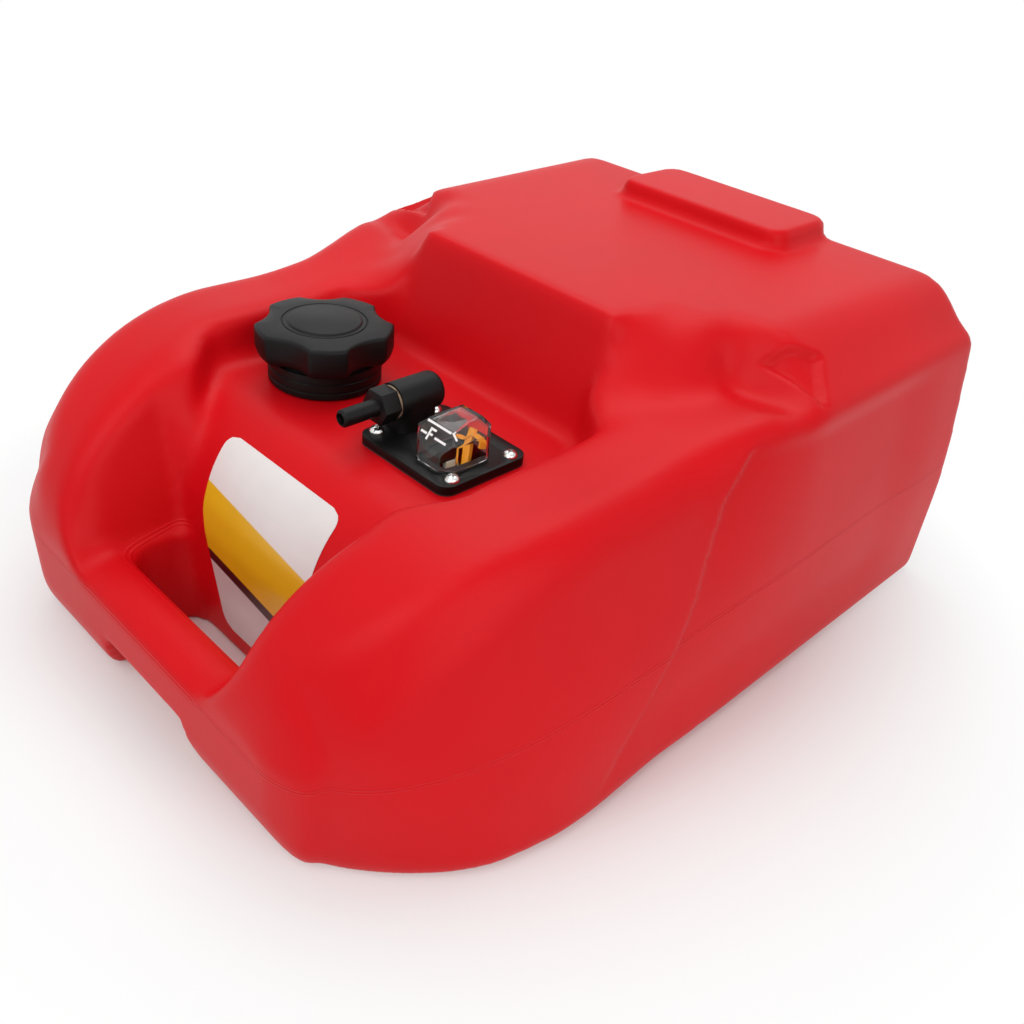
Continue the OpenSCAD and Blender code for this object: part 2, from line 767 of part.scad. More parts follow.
function lens_side(inset) = let (f = lens_d / 2 - inset, h = lens_height - inset, s = inset * bevel_share)
    [[-f, 0], [-f + front_lean, upright - s], [-f + front_run, lens_height - brow - inset],
     [-f + crown_front + crown_lead, h], [f - crown_back, h], [f - rear_lean, h - rear_drop + s], [f, 0]];
function lens_plan(inset) =
    let (w = lens_w / 2 - inset, f = lens_d / 2 - inset, b = lens_bevel - inset * bevel_share)
    [[-w, -f + b], [-w + b, -f], [w - b, -f], [w, -f + b], [w, f - b], [w - b, f], [-w + b, f], [-w, f - b]];
function lens_end(inset) =
    let (w = lens_w / 2 - inset, h = lens_height - inset, b = lens_bevel - inset * bevel_share)
    [[-w, 0], [w, 0], [w, h - b], [w - b, h], [-w + b, h], [-w, h - b]];

module lens_form(inset, foot) {
    at_back(gauge_x, lens_back, lens_foot + foot) intersection() {
        linear_extrude(lens_height) polygon(lens_plan(inset));
        rotate([90, 0, 90]) linear_extrude(lens_w, center = true) polygon(lens_side(inset));
        rotate([90, 0, 0]) linear_extrude(lens_d, center = true) polygon(lens_end(inset));
    }
}

module gauge_lens() {
    color("lightcyan", 0.4)
    difference() {
        lens_form(0, 0);
        lens_form(lens_wall, -small);
    }
}

module lens_seal() {
    color("#242424")
    at_back(gauge_x, lens_back, plate_top) linear_extrude(seal_thick) difference() {
        polygon(lens_plan(0));
        polygon(lens_plan(lens_wall));
    }
}

tank_shell();
tank_label();
cap_shell();
cap_insert();
cap_gasket();
vent_cage();
vent_poppet();
vent_spring();
plate_gasket();
pickup_head();
hose_barb();
barb_washer();
pickup_tube();
pickup_strainer();
gauge_bracket();
gauge_pin();
gauge_pointer();
float_arm();
gauge_float();
float_stop();
gauge_lens();
lens_seal();
plate_screws();
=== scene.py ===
import json
import math

import bmesh
import bpy
from mathutils import Matrix, Vector


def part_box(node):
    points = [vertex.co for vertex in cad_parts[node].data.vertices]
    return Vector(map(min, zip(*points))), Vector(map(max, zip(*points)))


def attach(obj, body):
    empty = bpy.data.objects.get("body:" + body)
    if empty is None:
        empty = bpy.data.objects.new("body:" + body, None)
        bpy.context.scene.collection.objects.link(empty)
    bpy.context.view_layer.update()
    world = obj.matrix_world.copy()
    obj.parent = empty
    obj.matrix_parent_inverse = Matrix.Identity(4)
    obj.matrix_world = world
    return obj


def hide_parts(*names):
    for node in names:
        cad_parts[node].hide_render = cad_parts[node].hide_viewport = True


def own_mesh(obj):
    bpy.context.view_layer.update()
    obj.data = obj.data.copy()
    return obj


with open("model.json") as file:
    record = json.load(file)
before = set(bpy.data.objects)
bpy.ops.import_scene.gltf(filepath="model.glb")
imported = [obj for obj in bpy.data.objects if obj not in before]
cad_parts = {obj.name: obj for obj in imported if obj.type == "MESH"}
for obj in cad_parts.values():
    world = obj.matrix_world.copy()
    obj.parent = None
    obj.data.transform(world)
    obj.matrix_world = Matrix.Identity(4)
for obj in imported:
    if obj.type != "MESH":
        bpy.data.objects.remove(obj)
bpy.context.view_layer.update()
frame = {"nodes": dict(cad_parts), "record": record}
scene = bpy.context.scene
nodes = frame["nodes"]
mm = 0.001
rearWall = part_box("tank_shell")[1].y
print("frame loaded,", len(nodes), "nodes")


# Places are in millimetres: x to the right, d forward from the rear wall, z up from the floor.
def at(x, d, z):
    return Vector((x * mm, rearWall - d * mm, z * mm))


def mix(a, b, t):
    return a + (b - a) * t


def ease(t):
    t = min(1, max(0, t))
    return t * t * (3 - 2 * t)


def quarter(t):
    return math.sqrt(max(0, 1 - t * t))


def between(table, value):
    for (a, low), (b, high) in zip(table, table[1:]):
        if value <= b:
            return mix(low, high, max(0, (value - a) / (b - a)))
    return table[-1][1]


def newObject(name, bm, body=None, slot=None):
    mesh = bpy.data.meshes.new(name)
    bm.to_mesh(mesh)
    bm.free()
    obj = bpy.data.objects.new(name, mesh)
    scene.collection.objects.link(obj)
    if body:
        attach(obj, body)
    if slot:
        mesh.materials.append(finishes[slot])
    return obj


def applyModifiers(obj):
    graph = bpy.context.evaluated_depsgraph_get()
    mesh = bpy.data.meshes.new_from_object(obj.evaluated_get(graph))
    obj.modifiers.clear()
    old = obj.data
    obj.data = mesh
    bpy.data.meshes.remove(old)
    mesh.name = obj.name


def shadeSmooth(obj, angle=None):
    for polygon in obj.data.polygons:
        polygon.use_smooth = True
    if angle:
        obj.data.set_sharp_from_angle(angle=math.radians(angle))


def cutWith(obj, bm, selfCross=False):
    cutter = newObject("cutter", bm)
    modifier = obj.modifiers.new("cut", "BOOLEAN")
    modifier.operation = "DIFFERENCE"
    modifier.solver = "EXACT"
    modifier.use_self = selfCross
    modifier.object = cutter
    applyModifiers(obj)
    bpy.data.objects.remove(cutter)


# A ring of points for each station, bridged into one skin and closed at both ends.
def skin(bm, rings):
    loops = []
    for ring in rings:
        verts = [bm.verts.new(p) for p in ring]
        loops.append([bm.edges.new(pair) for pair in zip(verts, verts[1:] + verts[:1])])
    for a, b in zip(loops, loops[1:]):
        bmesh.ops.bridge_loops(bm, edges=a + b)
    for end in (loops[0], loops[-1]):
        bmesh.ops.edgeloop_fill(bm, edges=end)
    bmesh.ops.recalc_face_normals(bm, faces=bm.faces)


def roundedBox(w, d, r, steps=8):
    points = []
    for turn, (sx, sy) in enumerate(((1, 1), (-1, 1), (-1, -1), (1, -1))):
        for i in range(steps + 1):
            a = math.radians(90 * (turn + i / steps))
            points.append((sx * (w / 2 - r) + r * math.cos(a), sy * (d / 2 - r) + r * math.sin(a)))
    return points


# A profile of (radius, height) turned about the upright axis through a place.
def lathe(bm, profile, place, steps=72):
    verts = [bm.verts.new(place + Vector((r * mm, 0, h * mm))) for r, h in profile]
    edges = [bm.edges.new(pair) for pair in zip(verts, verts[1:] + verts[:1])]
    bmesh.ops.spin(bm, geom=verts + edges, cent=place, axis=(0, 0, 1), angle=2 * math.pi, steps=steps, use_merge=True)
    bmesh.ops.remove_doubles(bm, verts=bm.verts, dist=1e-6)
    bmesh.ops.recalc_face_normals(bm, faces=bm.faces)


def block(bm, size, frameOf):
    cube = bmesh.ops.create_cube(bm, size=1)["verts"]
    bmesh.ops.transform(bm, matrix=frameOf @ Matrix.Diagonal(Vector(size) * mm).to_4x4(), verts=cube)


# A CAD node's copy with its loose triangles merged and its edges softened.
def softCopy(name, node, body, slot, width, angle=32):
    bm = bmesh.new()
    bm.from_mesh(nodes[node].data)
    bmesh.ops.remove_doubles(bm, verts=bm.verts, dist=2e-6)
    bmesh.ops.dissolve_limit(bm, angle_limit=math.radians(0.6), verts=bm.verts, edges=bm.edges)
    sharp = [e for e in bm.edges if len(e.link_faces) == 2 and e.calc_face_angle() > math.radians(angle)]
    bmesh.ops.bevel(bm, geom=sharp, offset=width * mm, offset_type="OFFSET", affect="EDGES", segments=2, profile=0.5,
                    material=-1, clamp_overlap=True)
    obj = newObject(name, bm, body, slot)
    shadeSmooth(obj, 40)
    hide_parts(node)


# A colour as written, 0 to 255, to the linear values that the shader takes.
def linear(rgb):
    return tuple(c / 255 / 12.92 if c <= 10 else ((c / 255 + 0.055) / 1.055) ** 2.4 for c in rgb) + (1,)


# One finish is one material: a colour, drift over the surface and a height for its grain.
class Finish:
    def __init__(self, name, colour, roughness, metallic=0):
        self.material = bpy.data.materials.new(name)
        self.material.use_nodes = True
        self.tree = self.material.node_tree
        self.shader = self.tree.nodes["Principled BSDF"]
        self.place = self.add("ShaderNodeTexCoord").outputs["Object"]
        self.colour = linear(colour)
        self.roughness = roughness
        self.height = None
        self.set(Base_Color=self.colour, Roughness=roughness, Metallic=metallic)

    def add(self, kind, **values):
        node = self.tree.nodes.new(kind)
        for key, value in values.items():
            setattr(node, key, value)
        return node

    def set(self, **values):
        for key, value in values.items():
            self.shader.inputs[key.replace("_", " ")].default_value = value

    def link(self, a, b):
        self.tree.links.new(a, b)

    def noise(self, scale, detail=3, stretch=None):
        node = self.add("ShaderNodeTexNoise")
        node.inputs["Scale"].default_value = scale
        node.inputs["Detail"].default_value = detail
        place = self.place
        if stretch:
            mapping = self.add("ShaderNodeMapping")
            mapping.inputs["Scale"].default_value = stretch
            self.link(place, mapping.inputs["Vector"])
            place = mapping.outputs["Vector"]
        self.link(place, node.inputs["Vector"])
        return node.outputs["Fac"]

    def math(self, kind, *values):
        node = self.add("ShaderNodeMath", operation=kind)
        for socket, value in zip(node.inputs, values):
            if isinstance(value, (int, float)):
                socket.default_value = value
            else:
                self.link(value, socket)
        return node.outputs[0]

    def spread(self, value, low, high, fromLow=0.0, fromHigh=1.0):
        node = self.add("ShaderNodeMapRange")
        for key, number in (("From Min", fromLow), ("From Max", fromHigh), ("To Min", low), ("To Max", high)):
            node.inputs[key].default_value = number
        self.link(value, node.inputs["Value"])
        return node.outputs["Result"]

    def vary(self, scale, amount, rough=0.06):
        noise = self.noise(scale)
        shift = self.add("ShaderNodeHueSaturation")
        shift.inputs["Color"].default_value = self.colour
        self.link(self.spread(noise, 1 - amount, 1 + amount, 0.3, 0.7), shift.inputs["Value"])
        self.link(shift.outputs["Color"], self.shader.inputs["Base Color"])
        self.link(self.spread(noise, self.roughness - rough, self.roughness + rough), self.shader.inputs["Roughness"])
        return self

    def grain(self, value, amount):
        value = self.math("MULTIPLY", value, amount)
        self.height = self.math("ADD", self.height, value) if self.height else value
        return self

    def done(self, distance=0.4, strength=0.5):
        if self.height:
            bump = self.add("ShaderNodeBump")
            bump.inputs["Strength"].default_value = strength
            bump.inputs["Distance"].default_value = distance * mm
            self.link(self.height, bump.inputs["Height"])
            self.link(bump.outputs["Normal"], self.shader.inputs["Normal"])
        return self.material


# The moulding's parting line: its height at the rear, its fall along the tank and the two beads that mark it.
parting = dict(rear=85, fall=12, dip=17, power=4.0, gap=0.9, width=0.6, length=463)


def tankRed():
    f = Finish("tankRed", (205, 9, 20), 0.42).vary(8, 0.05, 0.04)
    split = f.add("ShaderNodeSeparateXYZ")
    f.link(f.place, split.inputs[0])
    share = f.math("DIVIDE", f.math("SUBTRACT", rearWall, split.outputs["Y"]), parting["length"] * mm)
    fall = f.math("ADD", f.math("MULTIPLY", share, parting["fall"] * mm),
                  f.math("MULTIPLY", f.math("POWER", share, parting["power"]), parting["dip"] * mm))
    above = f.math("SUBTRACT", split.outputs["Z"], f.math("SUBTRACT", parting["rear"] * mm, fall))
    away = f.math("ABSOLUTE", f.math("SUBTRACT", f.math("ABSOLUTE", above), parting["gap"] * mm))
    line = f.math("MAXIMUM", f.math("SUBTRACT", 1.0, f.math("DIVIDE", away, parting["width"] * mm)), 0.0)
    f.grain(line, 1.1).grain(f.noise(1500, 4), 0.3).grain(f.noise(380, 2), 0.14)
    f.set(Specular_IOR_Level=0.14, Subsurface_Weight=0.05, Subsurface_Radius=(0.004, 0.001, 0.001))
    return f.done(0.5, 0.4)


def blackPlastic():
    f = Finish("blackPlastic", (12, 11, 11), 0.44).vary(60, 0.2)
    f.set(Specular_IOR_Level=0.16)
    return f.grain(f.noise(2600, 4), 0.6).done(0.3, 0.4)


def sealRubber():
    f = Finish("sealRubber", (30, 30, 31), 0.72).vary(120, 0.2)
    return f.grain(f.noise(3000, 3), 0.6).done()


def whitePlastic():
    f = Finish("whitePlastic", (222, 216, 200), 0.45).vary(90, 0.06)
    return f.grain(f.noise(1800, 3), 0.3).done()


def wireSteel():
    f = Finish("wireSteel", (176, 176, 174), 0.3, 1).vary(150, 0.1)
    return f.grain(f.noise(2200, 3, (1, 1, 0.1)), 0.4).done(0.2)


def washerFibre():
    f = Finish("washerFibre", (150, 128, 104), 0.75).vary(300, 0.18)
    return f.grain(f.noise(2400, 5), 0.8).done()


def pointerOrange():
    f = Finish("pointerOrange", (244, 152, 20), 0.36).vary(140, 0.08)
    return f.grain(f.noise(1900, 3), 0.25).done(0.2)


def floatFoam():
    f = Finish("floatFoam", (44, 44, 45), 0.85).vary(200, 0.2)
    return f.grain(f.noise(1400, 5), 1).done()


def clearLens():
    f = Finish("clearLens", (246, 249, 249), 0.05)
    f.set(Transmission_Weight=1, IOR=1.3)
    f.link(f.spread(f.noise(40), 0.02, 0.08), f.shader.inputs["Roughness"])
    return f.grain(f.noise(160, 2), 0.2).done(0.2, 0.15)


def platedSteel():
    f = Finish("platedSteel", (206, 205, 203), 0.2, 1).vary(260, 0.1)
    return f.grain(f.noise(2600, 3), 0.3).done(0.1)


def dialWhite():
    f = Finish("dialWhite", (240, 240, 238), 0.4).vary(200, 0.03)
    return f.grain(f.noise(2000, 2), 0.3).done(0.1)


# The label's print is plain slanting bands, read from its UV map: v runs from its top to its foot.
label = dict(half=48.5, top=120, bottom=14, corner=8, waist=80, taper=1.5, foot=29, lift=0.12, thick=0.25, slant=0.1,
             columns=24, rows=60, arcs=40,
             bands=((0.0, (229, 224, 222)), (0.30, (229, 224, 222)), (0.303, (228, 178, 26)), (0.64, (230, 172, 20)),
                    (0.643, (58, 18, 22)), (0.70, (58, 18, 22)), (0.703, (206, 190, 190)), (1.0, (212, 200, 199))))


def labelPrint():
    f = Finish("labelPrint", (229, 224, 222), 0.3)
    uv = f.add("ShaderNodeUVMap")
    split = f.add("ShaderNodeSeparateXYZ")
    f.link(uv.outputs["UV"], split.inputs[0])
    ramp = f.add("ShaderNodeValToRGB")
    stops = ramp.color_ramp.elements
    while len(stops) < len(label["bands"]):
        stops.new(0.5)
    for stop, (place, colour) in zip(stops, label["bands"]):
        stop.position = place
        stop.color = linear(colour)
    slant = f.math("MULTIPLY", f.math("SUBTRACT", split.outputs["X"], 0.5), -label["slant"])
    f.link(f.math("ADD", split.outputs["Y"], slant), ramp.inputs["Fac"])
    tone = f.add("ShaderNodeHueSaturation")
    f.link(ramp.outputs["Color"], tone.inputs["Color"])
    f.link(f.spread(f.noise(60), 0.94, 1.02), tone.inputs["Value"])
    f.link(tone.outputs["Color"], f.shader.inputs["Base Color"])
    return f.grain(f.noise(900, 3), 0.3).done(0.2, 0.3)


finishes = dict(tank_red=tankRed(), label_print=labelPrint(), black_plastic=blackPlastic(), seal_rubber=sealRubber(),
                white_plastic=whitePlastic(), spring_steel=wireSteel(), washer_fibre=washerFibre(),
                pointer_orange=pointerOrange(), float_foam=floatFoam(), clear_lens=clearLens(),
                screw_steel=platedSteel())
for part in frame["record"]["subparts"]:
    mesh = nodes[part["node"]].data
    mesh.materials.clear()
    mesh.materials.append(finishes[part["material_slot"]])
print("finishes made")

# The moulded tank: sizes of its form in millimetres.
tank = dict(
    length=463, half=188, deck=130, voxel=2.7, smooth=4, smoothBy=0.5,
    # Rear block with its lip, and the wall down to the deck.
    top=196, topRear=145, topFront=134, topTaper=175, lip=169, lipInset=12, ledgeRun=9, ledgeRise=4,
    block=225, wallRun=21, rearRound=6, rearDraft=1,
    # Slopes from the block to the arms, and the groove across them.
    fallStart=158, fallRun=30, shoulder=109, heldLead=18, heldRun=24, rampLead=22, rampRun=52,
    sideStart=165, sideRun=95, sideSlack=2, dip=3.5, dipAt=185, dipRun=18, dipShare=0.35,
    # Well between the arms.
    well=99, wellDraft=4, wellNarrow=0.75, wellLead=6, wellRun=26, roll=350, rollRun=49, rollEase=43,
    # Arms, down to the nose.
    arm=156, armRise=10, armRear=195, armLevel=300, armStart=330, armReach=134, armEnd=56, crestInset=36,
    sideInset=25, sideDrop=12, noseDrop=24, edge=92, edgeEnd=80, cornerStart=200, cornerRun=260, cornerPower=3,
    cornerRoot=6, noseStart=448, noseRun=15, noseTurn=72, noseHeight=54, noseNarrow=0.2, noseUnder=0.9,
    # Parting height and the foot under it.
    partRear=84, partFront=62, partGap=8, partRise=3, foot=8, footStart=270, footRun=90, footPull=13, footTurn=385,
    footRound=9, footNose=12,
    # Handle bar, its hand gap and the arch below.
    handleTop=58, handleCrown=5, handleUnder=31, gapHalf=61, gapBack=398, gapRun=37, gapRound=12, gapLow=-20,
    gapHigh=150, barLedge=3, archHalf=48, archTop=36, archBack=417, archFoot=-1, archOut=20)
# How far each corner of a section is rounded, and where the sections stand along the tank.
rounding = dict(part=26, side=10, crest=8, top=16, shoulder=14, wellBack=4, wellFront=9, wellRun=30)
stations = dict(rear=(90, 70, 50, 30, 15), middle=126, nose=6)
rearRib = dict(width=132, depth=63, height=12, round=12, draft=4, back=1, sunk=8, brow=(1.2, 2.4))
# Each fade is a start and a run.
sideStep = dict(rise=3.4, share=0.8, ramp=5, wide=(150, 14), front=(395, 40), rear=(30, 60), low=(8, 40),
                high=(152, 14),
                line=((0, 340), (39, 309), (72, 282), (97, 262), (141, 237), (160, 219), (168, 196)))
gusset = dict(corners=((131.6, 175.4), (150.8, 145.3), (173.8, 168.9)), depth=4.5, bevel=3, above=150)
filler = dict(x=-58, d=309, bore=21.5, radius=25, foot=127, top=157, chamfer=0.6, mouth=22.3, mouthFoot=143.5,
              mouthRise=0.8, thread=0.8, threadFoot=137, ridge=1.2, sunk=0.2, pitch=5, turns=3, steps=48)
sender = dict(x=43.6, d=310, hole=23)


def halfAt(d):
    share = max(0, (min(d, tank["noseStart"]) - tank["cornerStart"]) / tank["cornerRun"])
    bow = (1 - share ** tank["cornerPower"]) ** (1 / tank["cornerRoot"])
    return tank["half"] * bow - tank["rearDraft"] * (1 - min(1, d / tank["block"]))


def armAt(d):
    t = tank
    if d < t["armStart"]:
        return t["arm"] + t["armRise"] * (1 - ease((d - t["armRear"]) / (t["armLevel"] - t["armRear"])))
    return mix(t["armEnd"], t["arm"], quarter((d - t["armStart"]) / t["armReach"]))


def floorAt(d):
    if d < tank["block"] + tank["wallRun"]:
        return mix(tank["top"], tank["deck"], min(1, max(0, (d - tank["block"]) / tank["wallRun"])))
    if d < tank["roll"]:
        return tank["deck"]
    crown = tank["handleCrown"] * max(0, 1 - ((d - tank["noseStart"]) / tank["noseRun"]) ** 2)
    return mix(tank["handleTop"], tank["deck"], quarter(min(1, (d - tank["roll"]) / tank["rollRun"]))) + crown


def wellAt(d):
    t = tank
    back = t["block"] + t["wallRun"]
    wide = mix(t["wellNarrow"], 1, ease((d - back + t["wellLead"]) / t["wellRun"])) * t["well"]
    return mix(wide, t["gapHalf"] + t["barLedge"], ease((d - t["roll"]) / t["rollEase"]))


def footAt(d):
    turn = tank["footTurn"]
    flare = tank["foot"] * ease((d - tank["footStart"]) / tank["footRun"])
    return flare - tank["footPull"] * ease((d - turn) / (tank["noseStart"] - turn))


# Corners of half a section, from the middle of the underside to the middle of the top, each with its rounding.
def corners(d):
    t, r = tank, rounding
    blend = ease((d - t["sideStart"]) / t["sideRun"])
    fall = ease((d - t["fallStart"]) / t["fallRun"])
    ramp = ease((d - t["block"] + t["rampLead"]) / t["rampRun"])
    rolled = ease((d - t["roll"]) / t["rollEase"])
    nose = ease((d - t["armStart"]) / (t["noseStart"] - t["armStart"]))
    dip = t["dip"] * ease(1 - abs(d - t["dipAt"]) / t["dipRun"])
    wide, arm, well, floor = halfAt(d), armAt(d), wellAt(d), floorAt(d)
    slim = min(1, wide / halfAt(t["armStart"]))
    lipX, crestX = t["half"] - t["lipInset"], (t["half"] - t["crestInset"]) * slim
    sideX = min((t["half"] - t["sideInset"]) * math.sqrt(slim), wide - t["sideSlack"])
    partZ = min(mix(t["partRear"], t["partFront"], d / t["length"]), arm - t["partGap"])
    sideZ = max(arm - mix(t["sideDrop"], t["noseDrop"], nose), partZ + t["partRise"])
    topHalf = mix(t["topRear"], t["topFront"], min(1, d / t["topTaper"]))
    inner = mix(well + t["wellDraft"], mix(t["edge"], t["edgeEnd"], nose), rolled)
    middle = (mix(t["well"], inner, rolled) + crestX) / 2
    shoulder = mix(t["shoulder"], (inner + middle) / 2, rolled)
    held = ease((d - t["fallStart"] - t["heldLead"]) / (t["fallRun"] + t["heldRun"]))
    wellTop = mix(t["top"], arm - t["wellDraft"], ramp)
    soft = mix(r["wellBack"], r["wellFront"], ease((d - t["block"] - t["wallRun"]) / r["wellRun"]))
    lipZ = mix(t["lip"], sideZ, blend) - dip * t["dipShare"]
    ledge = (mix(lipX - t["ledgeRun"], crestX, blend), mix(t["lip"] + t["ledgeRise"], arm, blend) - dip, r["crest"])
    return ((0, 0, 0), (wide + footAt(d), 0, mix(t["footRound"], t["footNose"], nose)), (wide, partZ, r["part"]),
            (mix(lipX, sideX, blend), lipZ, r["side"]), ledge,
            (mix(topHalf, middle, fall), mix(t["top"], arm, fall) - dip * fall, r["top"]),
            (shoulder, mix(t["top"], arm, held), r["shoulder"]), (inner, wellTop, soft), (well, floor, soft),
            (0, floor, 0))


# Each corner becomes a curve that starts and ends within its reach of it, at most a share of the way to the next.
def softened(points, steps=6, share=0.45):
    flat = [Vector(p[:2]) for p in points]
    out = []
    for i, (x, z, reach) in enumerate(points):
        if not reach:
            out.append(flat[i])
            continue
        ends = []
        for other in (flat[i - 1], flat[i + 1]):
            gap = (other - flat[i]).length
            ends.append(flat[i] if gap < 0.01 else flat[i].lerp(other, min(reach / gap, share)))
        for k in range(steps + 1):
            t = k / steps
            out.append(ends[0] * (1 - t) ** 2 + flat[i] * 2 * t * (1 - t) + ends[1] * t * t)
    return out


def resampled(points, count):
    lengths = [0]
    for a, b in zip(points, points[1:]):
        lengths.append(lengths[-1] + (b - a).length)
    out, k = [], 0
    for i in range(count + 1):
        goal = lengths[-1] * i / count
        while k < len(points) - 2 and lengths[k + 1] < goal:
            k += 1
        run = lengths[k + 1] - lengths[k]
        out.append(points[k].lerp(points[k + 1], (goal - lengths[k]) / run if run else 0))
    return out


def bothSides(points, d):
    return [at(x, d, z) for x, z in points] + [at(-x, d, z) for x, z in points[-2:0:-1]]


def sectionRing(d, count=100):
    t = tank
    pull = t["rearRound"] * (1 - quarter(1 - min(1, d / t["rearRound"])))
    nose = max(0, (d - t["noseStart"]) / t["noseRun"]) * math.sin(math.radians(t["noseTurn"]))
    middle = t["top"] / 2
    points = []
    for p in resampled(softened(corners(d)), count):
        x = p.x * (1 - pull / t["half"]) * (1 - t["noseNarrow"] * nose ** 3)
        if nose > 0:
            under = quarter(nose * t["noseUnder"]) if p.y < t["noseHeight"] else 1
            points.append((x, mix(t["noseHeight"], p.y, under)))
        else:
            points.append((x, mix(middle, p.y, 1 - pull / middle)))
    return bothSides(points, d)


# The fuel space: thick floor and sides, a roof that follows the block and then the deck.
hollow = dict(floor=6, side=9, roof=5, drop=208, dropRun=32, turn=140, turnRun=40, lead=60, edgeRear=128, edgeFront=80,
              footRun=8, footRise=16, wall=80, shoulderX=164, shoulderZ=158, armIn=22, armZ=110,
              start=8, run=370, rings=60)


def hollowRing(i):
    h = hollow
    d = h["start"] + h["run"] * i / h["rings"]
    blend = ease((d - tank["block"] + h["lead"]) / h["turnRun"])
    edge = mix(h["edgeRear"], h["edgeFront"], ease((d - h["turn"]) / h["turnRun"]))
    wide, top = halfAt(d) - h["side"], floorAt(d) - h["roof"]
    if d < tank["roll"]:
        top = mix(tank["top"], tank["deck"], ease((d - h["drop"]) / h["dropRun"])) - h["roof"]
    shoulder = (mix(h["shoulderX"], wide - h["armIn"], blend), mix(h["shoulderZ"], h["armZ"], blend))
    return bothSides([(0, h["floor"]), (wide - h["footRun"], h["floor"]), (wide, h["footRise"]), (wide, h["wall"]),
                      shoulder, (edge, top), (0, top)], d)


def tankStations():
    t, s = tank, stations
    rear = [t["rearRound"] * (1 - math.sin(math.radians(a))) for a in s["rear"]]
    middle = [mix(t["rearRound"], t["noseStart"], i / s["middle"]) for i in range(s["middle"])]
    turn = math.radians(t["noseTurn"])
    nose = [t["noseStart"] + t["noseRun"] * math.sin(turn * i / s["nose"]) / math.sin(turn)
            for i in range(s["nose"] + 1)]
    return rear + middle + nose


def ribRings():
    r = rearRib
    top = tank["top"] + r["height"]
    drop, pull = r["brow"]
    rings = []
    for z, draw in ((tank["top"] - r["sunk"], 0), (top - r["draft"], 1), (top - drop, pull), (top, r["draft"])):
        outline = roundedBox(r["width"] - 2 * draw, r["depth"] - r["back"] - draw, r["round"] - draw / 2)
        rings.append([at(x, r["back"] + draw * 0.5 + (r["depth"] - r["back"]) / 2 - y, z) for x, y in outline])
    return rings


def handCutter():
    t = tank
    bm = bmesh.new()
    slot = roundedBox(2 * t["gapHalf"], t["gapRun"], t["gapRound"])
    skin(bm, [[at(x, t["gapBack"] + t["gapRun"] / 2 - y, z) for x, y in slot] for z in (t["gapLow"], t["gapHigh"])])
    arch = ((-t["archHalf"], t["archFoot"]), (t["archHalf"], t["archFoot"]),
            (t["archTop"], t["handleUnder"]), (-t["archTop"], t["handleUnder"]))
    skin(bm, [[at(x, d, z) for x, z in arch] for d in (t["archBack"], t["length"] + t["archOut"])])
    return bm


def fadeIn(value, span):
    return ease((value - span[0]) / span[1])


# The front of each side stands proud of the rear along a slanting step, and a three-cornered pocket marks the shoulder.
def moulding(x, d, z):
    s = sideStep
    side = fadeIn(x, s["wide"]) * (1 - fadeIn(d, s["front"])) * fadeIn(d, s["rear"])
    side = side * fadeIn(z, s["low"]) * (1 - fadeIn(z, s["high"]))
    step = s["rise"] * (ease((d - between(s["line"], z)) / s["ramp"] + 0.5) - s["share"]) * side
    ring = gusset["corners"]
    inside = min(((bx - ax) * (d - ad) - (bd - ad) * (x - ax)) / math.hypot(bx - ax, bd - ad)
                 for (ax, ad), (bx, bd) in zip(ring, ring[1:] + ring[:1]))
    pocket = gusset["depth"] * ease(inside / gusset["bevel"]) if z > gusset["above"] else 0
    return step, pocket


def tankBody():
    bm = bmesh.new()
    skin(bm, [sectionRing(d) for d in tankStations()])
    skin(bm, ribRings())
    body = newObject("tankBody", bm, "tank", "tank_red")
    cutWith(body, handCutter(), True)
    remesh = body.modifiers.new("mould", "REMESH")
    remesh.mode = "VOXEL"
    remesh.voxel_size = tank["voxel"] * mm
    soften = body.modifiers.new("soften", "SMOOTH")
    soften.factor = tank["smoothBy"]
    soften.iterations = tank["smooth"]
    applyModifiers(body)
    bm = bmesh.new()
    bm.from_mesh(body.data)
    for v in bm.verts:
        x, d, z = v.co.x / mm, (rearWall - v.co.y) / mm, v.co.z / mm
        step, pocket = moulding(abs(x), d, z)
        v.co.x += step * mm if x > 0 else -step * mm
        v.co -= v.normal * pocket * mm
    inner = bmesh.new()
    skin(inner, [hollowRing(i) for i in range(hollow["rings"] + 1)])
    bmesh.ops.reverse_faces(inner, faces=inner.faces)
    lining = bpy.data.meshes.new("lining")
    inner.to_mesh(lining)
    inner.free()
    bm.from_mesh(lining)
    bpy.data.meshes.remove(lining)
    bm.to_mesh(body.data)
    bm.free()
    holes = bmesh.new()
    for hole, radius in ((filler, filler["bore"]), (sender, sender["hole"])):
        place = Matrix.Translation(at(hole["x"], hole["d"], tank["deck"]))
        bmesh.ops.create_cone(holes, cap_ends=True, segments=64, radius1=radius * mm, radius2=radius * mm,
                              depth=30 * mm, matrix=place)
    cutWith(body, holes)
    shadeSmooth(body)
    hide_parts("tank_shell")
    print("tank moulded,", len(body.data.polygons), "faces")
    return body


tankShell = tankBody()


